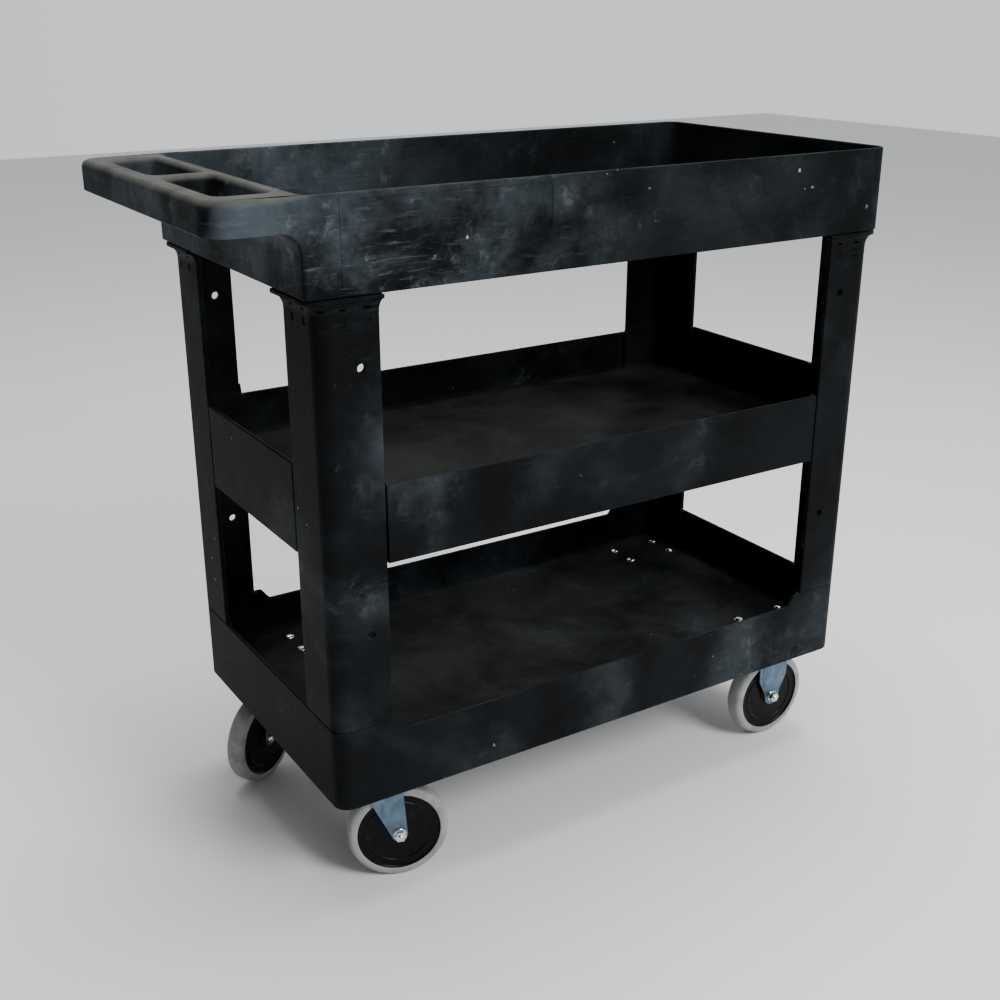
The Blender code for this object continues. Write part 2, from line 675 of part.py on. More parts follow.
def make_rigid_caster(name, sy):
    mount = new_empty(name + "_mount", ROOT, (CASTER_X, sy * CASTER_Y, 0))
    bracket = plate_shape(name + "_bracket", mount)
    top = PLATE_TOP - PLATE_THICKNESS / 2
    shoulder = WHEEL_RADIUS + 30 * MM
    half = 26 * MM
    sides = [(half, top), (half, shoulder)], [(-half, top), (-half, shoulder)]
    add_legs(bracket, name + "_bracket", leg_outline(0, sides), mount)
    place(bore_axle(bracket, name + "_bracket_axle_hole", 0, mount), ZINC, mount)
    make_wheel(name, mount, 0)


make_bottom_tray()
make_middle_tray()
make_top_tray()
for end_name, end_sign in (("rear", -1), ("front", 1)):
    for side_name, side_sign in (("right", -1), ("left", 1)):
        make_post("post_%s_%s" % (end_name, side_name), end_sign, side_sign)
make_mounting_bolts()
make_swivel_caster("rear_right", -1, REAR_HEADINGS["rear_right"])
make_swivel_caster("rear_left", 1, REAR_HEADINGS["rear_left"])
make_rigid_caster("front_right", -1)
make_rigid_caster("front_left", 1)
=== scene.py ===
# %% [markdown]
# # A rolling utility cart
# Three moulded trays stand on four L-shaped corner posts, and four casters carry the lowest tray. The packed
# model gives every size and every moving body. This lesson makes the surfaces that a person sees: rounded
# rims, coved collars, pressed steel and cast tyres, each with a material of its own.

# %% Load the frame
import json
import math

import bmesh
import bpy
from mathutils import Matrix, Vector


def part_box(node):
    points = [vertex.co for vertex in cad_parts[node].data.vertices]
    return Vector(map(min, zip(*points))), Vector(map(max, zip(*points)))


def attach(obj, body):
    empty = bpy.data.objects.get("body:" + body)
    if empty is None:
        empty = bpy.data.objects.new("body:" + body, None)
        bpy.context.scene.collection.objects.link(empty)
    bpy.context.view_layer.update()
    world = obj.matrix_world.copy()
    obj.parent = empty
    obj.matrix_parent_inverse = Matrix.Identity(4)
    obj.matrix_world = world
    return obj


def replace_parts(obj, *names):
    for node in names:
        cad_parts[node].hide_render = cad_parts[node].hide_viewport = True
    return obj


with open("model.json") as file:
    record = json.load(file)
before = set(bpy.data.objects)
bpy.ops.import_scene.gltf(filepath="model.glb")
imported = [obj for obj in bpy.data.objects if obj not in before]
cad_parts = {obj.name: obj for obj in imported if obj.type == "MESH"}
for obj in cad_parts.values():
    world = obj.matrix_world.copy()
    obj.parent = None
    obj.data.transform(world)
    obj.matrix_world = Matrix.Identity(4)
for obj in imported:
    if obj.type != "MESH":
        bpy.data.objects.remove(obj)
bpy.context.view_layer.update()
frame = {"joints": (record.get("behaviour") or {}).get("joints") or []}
MM = 0.001

# %% [markdown]
# ## Driving sizes
# The sizes come from the packed solids' boxes. Only what a box can't say, such as a wall's thickness or a
# radius, is written out here.

# %% Driving sizes
bottom_low, bottom_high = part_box("bottom_shelf")
middle_low, middle_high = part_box("middle_shelf")
top_low, top_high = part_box("top_shelf")
FRAME_X = (bottom_low.x + bottom_high.x) / 2  # the middle of the four posts
HALF_X = (bottom_high.x - bottom_low.x) / 2
HALF_Y = bottom_high.y
TOP_HALF_X = top_high.x - FRAME_X
TOP_HALF_Y = top_high.y
WALL = 4.5 * MM
CORNER = 19 * MM
DECK_RISE = 36 * MM
DECK_THICKNESS = 5 * MM
RIM_ROUND = 1.9 * MM
DECK_ROUND = 4 * MM
LEG = 6 * MM
LEG_X = 72 * MM
LEG_Y = 82 * MM
SOCKET = 9.5 * MM
END_RIM_STEP = 15.5 * MM
RISE_AT = (298 * MM, 314 * MM)  # where the lowest tray's side rims slope up to its corners
SEAM = 1.2 * MM
ARC = 6
NEARLY_STRAIGHT = 1.5  # half a corner's angle in radians, past which it has no rounding to work out
print("trays:", round(2 * HALF_X / MM), "x", round(2 * HALF_Y / MM), "mm")

# %% [markdown]
# ## Outlines that match point for point
# A moulded tray is a stack of level outlines: up the outside, over the rim and down the inside. If every
# outline has the same number of points, neighbours can be bridged with quads, and the rounded rim is only a
# few more outlines. So every corner gets the same number of points, even one that is straight in one
# outline and stepped in the next.

# %% Rounded outlines
def rounded(corners, steps=ARC):
    """The outline through (x, y, radius) corners, with steps + 1 points at each."""
    outline = []
    for index, (x, y, radius) in enumerate(corners):
        here = Vector((x, y))
        back = (Vector(corners[index - 1][:2]) - here).normalized()
        ahead = (Vector(corners[(index + 1) % len(corners)][:2]) - here).normalized()
        half = back.angle(ahead) / 2
        if half > NEARLY_STRAIGHT:
            outline += [here + ahead * radius * (2 * step / steps - 1) for step in range(steps + 1)]
            continue
        start = here + back * radius / math.tan(half)
        centre = here + (back + ahead).normalized() * radius / math.sin(half)
        first = start - centre
        sweep = (math.pi - 2 * half) * (1 if back.cross(ahead) < 0 else -1)
        for step in range(steps + 1):
            turn = sweep * step / steps
            c, s = math.cos(turn), math.sin(turn)
            outline.append(centre + Vector((first.x * c - first.y * s, first.x * s + first.y * c)))
    return outline


def mirrored(quarter):
    """All four corners from one quarter's, anticlockwise from +X."""
    corners = list(quarter)
    corners += [(-x, y, r) for x, y, r in reversed(quarter)]
    corners += [(-x, -y, r) for x, y, r in quarter]
    corners += [(x, -y, r) for x, y, r in reversed(quarter)]
    return corners


print("a rounded square has", len(rounded(mirrored([(1, 1, 0.2)]))), "points")

# %% [markdown]
# ## From outlines to a closed skin
# Blender has no loft modifier, so one short function bridges the outlines. Holes and pockets are then exact
# Booleans, and a weighted normal keeps the flat walls flat beside their rounded edges.

# %% Lofts, cutters and finishing
def linked(name, data):
    """An object of the data, in the scene."""
    made = bpy.data.objects.new(name, data)
    bpy.context.scene.collection.objects.link(made)
    return made


def scene_object(name, work):
    """The finished bmesh as an object in the scene."""
    mesh = bpy.data.meshes.new(name)
    work.to_mesh(mesh)
    work.free()
    return linked(name, mesh)


def loft(name, rings):
    """A closed mesh through rings of equal point count, capped at both ends."""
    work = bmesh.new()
    made = [[work.verts.new(point) for point in ring] for ring in rings]
    for lower, upper in zip(made, made[1:]):
        for i, j in zip(range(-1, len(lower) - 1), range(len(lower))):
            work.faces.new((lower[i], lower[j], upper[j], upper[i]))
    work.faces.new(reversed(made[0]))
    work.faces.new(made[-1])
    bmesh.ops.recalc_face_normals(work, faces=work.faces)
    return scene_object(name, work)


def level(outline, z):
    """An outline's points at one height."""
    return [(FRAME_X + x, y, z) for x, y in outline]


def box_piece(name, spans):
    """Separate boxes in one mesh, each ((x0, x1), (y0, y1), (z0, z1)) from the middle of the posts."""
    work = bmesh.new()
    for span in spans:
        middle = Vector([(a + b) / 2 for a, b in span]) + Vector((FRAME_X, 0, 0))
        size = Vector([b - a for a, b in span])
        bmesh.ops.create_cube(work, size=1, matrix=Matrix.Translation(middle) @ Matrix.Diagonal((*size, 1)))
    return scene_object(name, work)


def rod_piece(name, places, radius, low, high, along="Z", sides=32):
    """Separate round rods in one mesh, at (x, y), or along Y at (x, z), from the middle of the posts."""
    turn = Matrix.Rotation(math.pi / 2, 4, "X") if along == "Y" else Matrix.Identity(4)
    work = bmesh.new()
    for a, b in places:
        at = (a, b, (low + high) / 2) if along == "Z" else (a, (low + high) / 2, b)
        shift = Matrix.Translation(Vector(at) + Vector((FRAME_X, 0, 0)))
        size = {"radius1": radius, "radius2": radius, "depth": high - low}
        bmesh.ops.create_cone(work, cap_ends=True, segments=sides, matrix=shift @ turn, **size)
    return scene_object(name, work)


def settle(piece):
    """Bakes the modifiers into the mesh."""
    view = bpy.context.evaluated_depsgraph_get()
    mesh = bpy.data.meshes.new_from_object(piece.evaluated_get(view))
    piece.modifiers.clear()
    piece.data = mesh
    return piece


def boolean(piece, operation, *tools):
    """Cuts or joins with each tool in turn, then removes the tools."""
    for tool in tools:
        step = piece.modifiers.new(tool.name, "BOOLEAN")
        step.operation = operation
        step.solver = "EXACT"
        step.object = tool
    settle(piece)
    for tool in tools:
        bpy.data.objects.remove(tool, do_unlink=True)
    return piece


def finish_surface(piece, material, body, sharp=38):
    """Smooth shading between true edges, flat walls kept flat, and the piece's material and body."""
    piece.data.shade_smooth()
    piece.data.set_sharp_from_angle(angle=math.radians(sharp))
    flat = piece.modifiers.new("flat_walls", "WEIGHTED_NORMAL")
    flat.keep_sharp = True
    flat.weight = 60
    piece.data.materials.clear()
    piece.data.materials.append(material)
    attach(piece, body)
    return piece


trial = loft("trial", [level([(0, 0), (1, 0), (1, 1), (0, 1)], z) for z in (0, 1)])
print("a loft through two squares has", len(trial.data.polygons), "faces")
bpy.data.objects.remove(trial, do_unlink=True)

# %% [markdown]
# ## Shader helpers
# Scratches, chips and haze come from a few noises at different scales in the object's own coordinates, so
# they stay on the piece when it moves. Short helpers keep the node trees readable.

# %% Shader helpers
def soft_range(nodes, low, high, dark, light):
    """A node that spreads low to high from dark to light, easing in and out."""
    made = nodes.new("ShaderNodeMapRange")
    made.interpolation_type = "SMOOTHSTEP"
    limits = {"From Min": low, "From Max": high, "To Min": dark, "To Max": light}
    for socket, limit in limits.items():
        made.inputs[socket].default_value = limit
    return made


class Shader:
    """A Principled material and a few ways to wire noise into it."""

    def __init__(self, name, roughness, metallic=0.0, specular=0.5):
        self.material = bpy.data.materials.new(name)
        self.material.use_nodes = True
        self.nodes = self.material.node_tree.nodes
        self.links = self.material.node_tree.links
        self.surface = self.nodes["Principled BSDF"]
        self.surface.inputs["Roughness"].default_value = roughness
        self.surface.inputs["Metallic"].default_value = metallic
        self.surface.inputs["Specular IOR Level"].default_value = specular
        self.place = self.nodes.new("ShaderNodeTexCoord").outputs["Object"]

    def stretched(self, scale, turn=(0, 0, 0)):
        mapping = self.nodes.new("ShaderNodeMapping")
        mapping.inputs["Scale"].default_value = scale
        mapping.inputs["Rotation"].default_value = turn
        self.links.new(self.place, mapping.inputs["Vector"])
        return mapping.outputs["Vector"]

    def noise(self, scale, detail=4.0, rough=0.6, warp=0.0, at=None):
        made = self.nodes.new("ShaderNodeTexNoise")
        sizes = {"Scale": scale, "Detail": detail, "Roughness": rough, "Distortion": warp}
        for socket, size in sizes.items():
            made.inputs[socket].default_value = size
        self.links.new(at or self.place, made.inputs["Vector"])
        return made.outputs["Fac"]

    def ramp(self, value, low, high, dark=0.0, light=1.0):
        """The value's stretch from low to high, spread from dark to light."""
        made = soft_range(self.nodes, low, high, dark, light)
        self.links.new(value, made.inputs["Value"])
        return made.outputs["Result"]

    def maths(self, operation, a, b=0.0):
        made = self.nodes.new("ShaderNodeMath")
        made.operation = operation
        for socket, value in zip(made.inputs, (a, b)):
            if isinstance(value, (int, float)):
                socket.default_value = value
            else:
                self.links.new(value, socket)
        return made.outputs["Value"]

    def times(self, first, *others):
        """The product of several masks."""
        for other in others:
            first = self.maths("MULTIPLY", first, other)
        return first

    def mix(self, share, first, second):
        """Colours mixed by a share; each is a socket or an (r, g, b)."""
        made = self.nodes.new("ShaderNodeMix")
        made.data_type = "RGBA"
        self.links.new(share, made.inputs["Factor"])
        for socket, value in ((made.inputs[6], first), (made.inputs[7], second)):
            if isinstance(value, tuple):
                socket.default_value = (*value, 1.0)
            else:
                self.links.new(value, socket)
        return made.outputs[2]

    def normal_axis(self, axis):
        """How far the surface faces along one of the object's axes."""
        facing = self.nodes.new("ShaderNodeTexCoord").outputs["Normal"]
        split = self.nodes.new("ShaderNodeSeparateXYZ")
        self.links.new(facing, split.inputs["Vector"])
        return split.outputs[axis]

    def where(self, axis):
        split = self.nodes.new("ShaderNodeSeparateXYZ")
        self.links.new(self.place, split.inputs["Vector"])
        return split.outputs[axis]

    def bump(self, height, strength, distance):
        made = self.nodes.new("ShaderNodeBump")
        made.inputs["Strength"].default_value = strength
        made.inputs["Distance"].default_value = distance
        self.links.new(height, made.inputs["Height"])
        self.links.new(made.outputs["Normal"], self.surface.inputs["Normal"])

    def colour(self, socket):
        self.links.new(socket, self.surface.inputs["Base Color"])

    def roughness(self, socket):
        self.links.new(socket, self.surface.inputs["Roughness"])


print("shader helpers:", [word for word in vars(Shader) if not word.startswith("_")])

# %% [markdown]
# ## Charcoal structural foam
# The trays are moulded in one go from a black, foamed plastic. It comes out of the mould with a cloudy,
# blue-grey bloom, and years of use add pale scuffs, short scratches and chips, with a brown dust on what
# faces up. Cloud, scuff, scratch and dust are four masks over one dark base. The top tray has two more: its
# sides near the handle are paler and bluer, partly a fade and partly a painted sheen, and its top there is
# paler, partly polish from hands and partly a painted highlight on its rounded edges.

# %% Charcoal plastic
def moulded_plastic(name, scuffing=1.0, dust=1.0, handle_wear_and_painted_light=False):
    shader = Shader(name, 0.5, specular=0.03)
    cloud = shader.ramp(shader.noise(6.5, 8, 0.68, 0.25), 0.36, 0.66)
    patch = shader.ramp(shader.noise(3.4, 4, 0.55, 0.4), 0.43, 0.66)
    if handle_wear_and_painted_light:
        near_end = shader.ramp(shader.where("X"), 0.1, -0.17, 0.14, 1.0)
        patch = shader.times(shader.ramp(patch, 0, 1, 0.55, 1.0), near_end)
    base = shader.mix(cloud, (0.003, 0.0036, 0.0042), (0.006, 0.0074, 0.0088))
    haze = shader.times(cloud, patch, scuffing)
    bloom = shader.mix(haze, base, (0.055, 0.07, 0.081))

    mottle = shader.ramp(shader.noise(38, 8, 0.78, 0.15), 0.5, 0.68)
    smear = shader.ramp(shader.noise(13, 5, 0.7, 0.3), 0.46, 0.6)
    marks = shader.times(mottle, patch, smear)
    mottled = shader.mix(shader.times(marks, 0.85 * scuffing), bloom, (0.13, 0.15, 0.155))
    strokes_at = shader.stretched((26, 26, 240), (0, 0.06, 0))
    strokes = shader.ramp(shader.noise(1.0, 5, 0.7, 0.3, strokes_at), 0.55, 0.72)
    brushed = shader.times(strokes, patch, 0.45 * scuffing)
    rubbed = shader.mix(brushed, mottled, (0.1, 0.12, 0.13))

    curl = shader.maths("ABSOLUTE", shader.maths("SUBTRACT", shader.noise(11, 2.5, 0.5, 1.9), 0.5))
    thin = shader.ramp(curl, 0.0, 0.0055, 1.0, 0.0)
    broken = shader.ramp(shader.noise(30, 3, 0.6), 0.58, 0.68)
    scratch = shader.times(thin, broken, 0.1 * scuffing)
    scratched = shader.mix(scratch, rubbed, (0.2, 0.215, 0.21))

    specks = shader.ramp(shader.noise(85, 2, 0.5), 0.725, 0.765)
    sparse = shader.ramp(shader.noise(9, 2, 0.5), 0.5, 0.64)
    chips = shader.times(specks, sparse, 0.9 * scuffing)
    chipped = shader.mix(chips, scratched, (0.36, 0.36, 0.3))

    upward = shader.ramp(shader.normal_axis("Z"), 0.6, 0.95)
    settled = shader.ramp(shader.noise(9, 7, 0.7, 0.4), 0.36, 0.66, 0.12, 1.0)
    dusty = shader.times(upward, settled, 0.8 * dust)
    colour = shader.mix(dusty, chipped, (0.027, 0.0272, 0.0242))
    if handle_wear_and_painted_light:
        # Painted sheen: the handle's side faces turn paler and bluer, partly a real fade and partly painted
        # sheen.
        sides = shader.ramp(shader.maths("ABSOLUTE", shader.normal_axis("Y")), 0.5, 0.95)
        along = shader.ramp(shader.where("X"), -0.345, -0.405, 0.0, 0.85)
        uneven = shader.ramp(strokes, 0, 1, 0.72, 1.0)
        outside = shader.ramp(shader.maths("ABSOLUTE", shader.where("Y")), 0.19, 0.205)
        fade_and_sheen = shader.times(sides, along, uneven, outside)
        colour = shader.mix(fade_and_sheen, colour, (0.063, 0.08, 0.097))
        # Painted highlight: the handle's top and rounded edges turn paler, partly polish from hands and
        # partly a painted highlight.
        held = shader.ramp(shader.where("X"), -0.335, -0.375, 0.0, 1.0)
        high = shader.ramp(shader.where("Z"), 0.83, 0.85, 0.0, 1.0)
        palm_unevenness = shader.ramp(shader.noise(26, 7, 0.7, 0.4), 0.32, 0.7, 0.45, 1.0)
        facing_up = shader.ramp(shader.normal_axis("Z"), 0.1, 0.75)
        palm_wear_and_highlight = shader.times(held, high, palm_unevenness, facing_up)
        colour = shader.mix(palm_wear_and_highlight, colour, (0.068, 0.067, 0.06))
    shader.colour(colour)

    grain = shader.noise(520, 3, 0.6)
    worn = shader.times(haze, -0.08)
    shader.roughness(shader.maths("ADD", shader.ramp(grain, 0.3, 0.7, 0.44, 0.58), worn))
    relief = shader.maths("ADD", shader.times(grain, 0.35), shader.times(marks, 0.6))
    shader.bump(relief, 0.22, 0.0006)
    return shader.material


TOP_PLASTIC = moulded_plastic("worn_and_painted_light_top_plastic", scuffing=1.0, handle_wear_and_painted_light=True)
TRAY_PLASTIC = moulded_plastic("charcoal_tray_plastic", scuffing=0.42)
POST_PLASTIC = moulded_plastic("charcoal_post_plastic", scuffing=0.6, dust=0.6)
print("plastics:", TOP_PLASTIC.name, TRAY_PLASTIC.name, POST_PLASTIC.name)

# %% [markdown]
# ## The two lower trays
# A tray's rim is lower along its sides than at its corners. In a loft that costs nothing: the rim's outlines
# are lifted point by point. The lowest tray's rims slope up just before its posts, and its walls thicken on
# the inside to hold them. The middle tray's corners step in behind the posts and stand up there at once.

# %% Tray outlines
def tray_outline(inset, depth, step_x, step_y, fillet=1.5 * MM):
    """One level outline, inset from the outer faces, with its corners stepped in by depth."""
    draft = 1 * MM if depth else 6 * MM
    x, y = HALF_X - inset, HALF_Y - inset
    quarter = [
        (x, step_y, fillet),
        (x - depth, step_y + draft, fillet),
        (x - depth, y - depth, max(CORNER - inset - depth, 2 * MM)),
        (step_x + draft, y - depth, fillet),
        (step_x, y, fillet),
        (step_x - 9 * MM, y, 2.5 * MM),
        (step_x - 18 * MM, y, 5 * MM),
    ]
    return rounded(mirrored(quarter))


def rim_height(x, side_rim, start, end):
    """The rim's height at a distance x from the middle: level, then up a soft slope to the corners."""
    share = min(max((abs(x) - start) / (end - start), 0), 1)
    return side_rim + END_RIM_STEP * share * share * (3 - 2 * share)


def quarter_turns(steps=4):
    return [math.pi / 2 * step / steps for step in range(steps + 1)]


print("a tray outline has", len(tray_outline(0, 0, HALF_X - LEG_X, HALF_Y - LEG_Y)), "points")

# %% [markdown]
# Now the stack itself. Each quarter turn below is one rounded edge: under the deck, along the foot of the
# wall, over the rim on both sides, and the fillet where the wall meets the deck.

# %% Trays from outlines
def tray_rings(low, side_rim, rise, outer, inner, skirt):
    """Every outline of a tray, from the middle of its underside, over the rim, to the deck. Each of outer,
    inner and skirt gives the outline at an inset, and rise is where the rims slope up."""
    deck = low + DECK_RISE
    under = deck - DECK_THICKNESS
    edge = 1.2 * MM
    rings = []
    for turn in quarter_turns():
        away = DECK_ROUND * (1 - math.sin(turn))
        rings.append(level(skirt(WALL + away), under - DECK_ROUND * (1 - math.cos(turn))))
    for turn in quarter_turns(2):
        rings.append(level(skirt(WALL - edge * (1 - math.cos(turn))), low + edge * (1 - math.sin(turn))))
    for turn in quarter_turns(2):
        rings.append(level(outer(edge * (1 - math.sin(turn))), low + edge * (1 - math.cos(turn))))

    def at_rim(outline, drop):
        return [(FRAME_X + x, y, rim_height(x, side_rim, *rise) - drop) for x, y in outline]

    for turn in quarter_turns():
        drop = RIM_ROUND * (1 - math.sin(turn))
        rings.append(at_rim(outer(RIM_ROUND * (1 - math.cos(turn))), drop))
    for turn in quarter_turns():
        drop = RIM_ROUND * (1 - math.cos(turn))
        rings.append(at_rim(inner(WALL - RIM_ROUND * (1 - math.sin(turn))), drop))
    for turn in quarter_turns():
        away = DECK_ROUND * (1 - math.cos(turn))
        rings.append(level(inner(WALL + away), deck + DECK_ROUND * (1 - math.sin(turn))))
    return rings


def ribs(half_x, half_y, low):
    """Three ribs across and one along, under the deck."""
    top = low + DECK_RISE - DECK_THICKNESS / 2
    reach_x, reach_y = half_x - WALL / 2, half_y - WALL / 2
    spans = [((x - 2 * MM, x + 2 * MM), (-reach_y, reach_y), (low + 3 * MM, top)) for x in (-0.2, 0, 0.2)]
    along = [((-reach_x, reach_x), (-2 * MM, 2 * MM), (low + 6 * MM, top - 1 * MM))]
    return box_piece("ribs_across", spans), box_piece("rib_along", along)


print("deck thickness", DECK_THICKNESS / MM, "mm, walls", WALL / MM, "mm")

# %% [markdown]
# ### The lowest tray
# It carries the casters, so it has flat pads under the deck where their plates bolt on, and a hole for each
# bolt. Its outside is plain, and its inside corners are thick.

# %% The lowest tray
BOLT_PLACES = []
for number in range(1, 17):
    bolt_low, bolt_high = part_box("mounting_bolt_%02d" % number)
    BOLT_PLACES.append(((bolt_low.x + bolt_high.x) / 2, (bolt_low.y + bolt_high.y) / 2))
BOLT_HOLE = 4.3 * MM
PAD = (52 * MM, 35 * MM)  # half the length and width of a pad
CASTER_PLACES = [(sx * 328 * MM, sy * 151 * MM) for sx in (-1, 1) for sy in (-1, 1)]


def make_bottom_tray():
    low = bottom_low.z
    side_rim = bottom_high.z - END_RIM_STEP
    socket_x, socket_y = HALF_X - LEG_X - 3.5 * MM, HALF_Y - LEG_Y - 3.5 * MM

    def plain(inset):
        return tray_outline(inset, 0, socket_x, socket_y)

    def inside(inset):
        return tray_outline(inset, SOCKET - WALL, socket_x - inset + WALL, socket_y - inset + WALL)

    tray = loft("bottom_tray", tray_rings(low, side_rim, RISE_AT, plain, inside, plain))
    pad_z = (low + 10.5 * MM, low + DECK_RISE - DECK_THICKNESS / 2)
    pads = [((x - PAD[0], x + PAD[0]), (y - PAD[1], y + PAD[1]), pad_z) for x, y in CASTER_PLACES]
    boolean(tray, "UNION", *ribs(HALF_X, HALF_Y, low), box_piece("pads", pads))
    places = [(x - FRAME_X, y) for x, y in BOLT_PLACES]
    holes = rod_piece("holes", places, BOLT_HOLE, low, bottom_high.z, sides=20)
    boolean(tray, "DIFFERENCE", holes)
    finish_surface(tray, TRAY_PLASTIC, "cart")
    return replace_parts(tray, "bottom_shelf")


bottom_tray = make_bottom_tray()
print("lowest tray:", len(bottom_tray.data.polygons), "faces")

# %% [markdown]
# ### The middle tray
# It is the same tray with its corners stepped in, inside and outside, so that the posts pass round it and
# finish level with its walls.

# %% The middle tray
def make_middle_tray():
    low = middle_low.z
    side_rim = middle_high.z - END_RIM_STEP
    notch = LEG + 0.4 * MM
    step_x, step_y = HALF_X - LEG_X - SEAM, HALF_Y - LEG_Y - SEAM

    def outside(inset):
        return tray_outline(inset, notch, step_x - inset - 1 * MM, step_y - inset - 1 * MM)

    rise = (step_x - 1 * MM, step_x + 0.5 * MM)
    tray = loft("middle_tray", tray_rings(low, side_rim, rise, outside, outside, outside))
    boolean(tray, "UNION", *ribs(HALF_X, HALF_Y, low))
    finish_surface(tray, TRAY_PLASTIC, "cart")
    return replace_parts(tray, "middle_shelf")


middle_tray = make_middle_tray()
print("middle tray:", len(middle_tray.data.polygons), "faces")

# %% [markdown]
# ## The top tray and its handle
# The handle is part of the same moulding. Going up the outside, the rear edge of the outline runs out along
# a cove and the handle's flat underside, turns up its end, and comes back over the top. The edge there is
# rounded far more than the thin rims are, so the rounding is a size that changes along the tray.

# %% Outlines of the top tray
RIM_TOP = top_high.z
HANDLE_LOW = RIM_TOP - 35 * MM
HANDLE_END = top_low.x - FRAME_X
COVE = 27 * MM
HANDLE_ROUND = 8.5 * MM
WEB_ROUND = 3.5 * MM
PANEL_X = (-345 * MM, -112 * MM)


def side_stations(rear, radius):
    """Three places along the side wall, spread between the post and the rear corner."""
    first = -TOP_HALF_X + 60 * MM
    last = rear + radius + 25 * MM
    width = (first - last) / 4.5
    return [(first, width), ((first + last) / 2, width), (last, width)]


def closed_half(half):
    """A half outline and its mirror image on the other side, rounded."""
    return rounded(half + [(x, -y, r) for x, y, r in reversed(half)], 8)


def top_outline(rear, radius, inset=0.0):
    """A level outline whose rear edge lies at x = rear."""
    x, y = TOP_HALF_X - inset, TOP_HALF_Y - inset
    side = [(place, y, width) for place, width in side_stations(rear, radius)]
    return closed_half([(x, y, CORNER - inset)] + side + [(rear + inset, y, radius - inset)])


def well_outline(inset):
    """The tray's inside, with as many points as the outlines round it."""
    x, y, radius = TOP_HALF_X - WALL - inset, TOP_HALF_Y - WALL - inset, CORNER - WALL - inset * 0.5
    side = [(place, y, width) for place, width in side_stations(-x, radius)]
    return closed_half([(x, y, radius)] + side + [(-x, y, radius)])


print("handle overhang", round((-TOP_HALF_X - HANDLE_END) / MM), "mm")

# %% [markdown]
# The thin rims need a small rounding and the handle a large one. A size that grows smoothly between two
# places along the tray gives both without a seam, where two separate bevels would meet in a step.

# %% The top tray's skin
def grown(x, start, end, small, large):
    """A rounding that grows smoothly from small at x = start to large at x = end."""
    share = min(max((x - start) / (end - start), 0), 1)
    return small + (large - small) * share * share * (3 - 2 * share)


def top_tray_rings():
    low = top_low.z
    deck = low + DECK_RISE
    under = deck - DECK_THICKNESS
    edge = 1.2 * MM
    rings = []
    for turn in quarter_turns():
        away = DECK_ROUND * (1 - math.sin(turn))
        rings.append(level(well_outline(away), under - DECK_ROUND * (1 - math.cos(turn))))
    rings.append(level(well_outline(0), low + edge))
    rings.append(level(well_outline(-edge), low))
    rings.append(level(top_outline(-TOP_HALF_X, 6 * MM, edge), low))
    rings.append(level(top_outline(-TOP_HALF_X, 6 * MM), low + edge))
    for turn in quarter_turns(8):
        rear = -TOP_HALF_X - COVE * (1 - math.cos(turn))
        rings.append(level(top_outline(rear, 6 * MM), HANDLE_LOW - COVE + COVE * math.sin(turn)))
    rings.append(level(top_outline(HANDLE_END + edge, 27 * MM), HANDLE_LOW))
    rings.append(level(top_outline(HANDLE_END, 28 * MM), HANDLE_LOW + edge))
    outer = top_outline(HANDLE_END, 28 * MM)
    inner = top_outline(HANDLE_END, 28 * MM, HANDLE_ROUND)
    for turn in quarter_turns(6):
        ring = []
        for near, far in zip(outer, inner):
            size = grown(near.x, -TOP_HALF_X + 19 * MM, -TOP_HALF_X - 25 * MM, RIM_ROUND, HANDLE_ROUND)
            x, y = near.lerp(far, size * (1 - math.cos(turn)) / HANDLE_ROUND)
            ring.append((FRAME_X + x, y, RIM_TOP - size * (1 - math.sin(turn))))
        rings.append(ring)
    lip, wall_line = well_outline(-RIM_ROUND), well_outline(0)
    for turn in quarter_turns(4):
        ring = []
        for near, far in zip(lip, wall_line):
            size = grown(far.x, -TOP_HALF_X + 17 * MM, -TOP_HALF_X + WALL, RIM_ROUND, WEB_ROUND)
            away = size * (1 - math.sin(turn)) / RIM_ROUND
            x, y = far.lerp(near, away)
            ring.append((FRAME_X + x, y, RIM_TOP - size * (1 - math.cos(turn))))
        rings.append(ring)
    for turn in quarter_turns():
        away = DECK_ROUND * (1 - math.cos(turn))
        rings.append(level(well_outline(away), deck + DECK_ROUND * (1 - math.sin(turn))))
    return rings


print("top tray:", len(top_tray_rings()), "outlines")

# %% [markdown]
# Hands and small tools go into two pockets that pass right through the handle. Their cutter flares at the
# top, which leaves a soft lip. A shallow panel is sunk into each long wall, where a label would go, and the
# mould's parting line shows as a hairline near each rear post.

# %% Pockets and panels
def pocket_cutter(side):
    middle_x, middle_y = -447.5 * MM, side * 94 * MM
    half_x, half_y, lip = 27.5 * MM, 80 * MM, 6.5 * MM

    def at(grow, z):
        corners = [(1, 1), (-1, 1), (-1, -1), (1, -1)]
        x, y, radius = half_x + grow, half_y + grow, 9 * MM + grow
        outline = rounded([(sx * x, sy * y, radius) for sx, sy in corners])
        return [(FRAME_X + middle_x + x, middle_y + y, z) for x, y in outline]

    rings = [at(0, HANDLE_LOW - 12 * MM)]
    for turn in quarter_turns(6):
        rings.append(at(lip * (1 - math.cos(turn)), RIM_TOP - lip * (1 - math.sin(turn)) + 0.04 * MM))
    rings.append(at(lip, RIM_TOP + 4 * MM))
    return loft("pocket", rings)


def panel_cutter(side):
    """A label panel, sunk into the wall with a sloping edge."""
    face = side * TOP_HALF_Y
    rings = []
    for out, grow in ((-1.2 * MM, 0), (0.6 * MM, 2.2 * MM)):
        start, end = PANEL_X[0] - grow, PANEL_X[1] + grow
        low, high = RIM_TOP - 61 * MM - grow, RIM_TOP - 8 * MM + grow
        wide, tight = 16 * MM + grow, 5 * MM + grow
        outline = rounded([(start, low, wide), (end, low, wide), (end, high, tight), (start, high, tight)])
        rings.append([(FRAME_X + x, face + side * out, z) for x, z in outline])
    return loft("panel", rings)


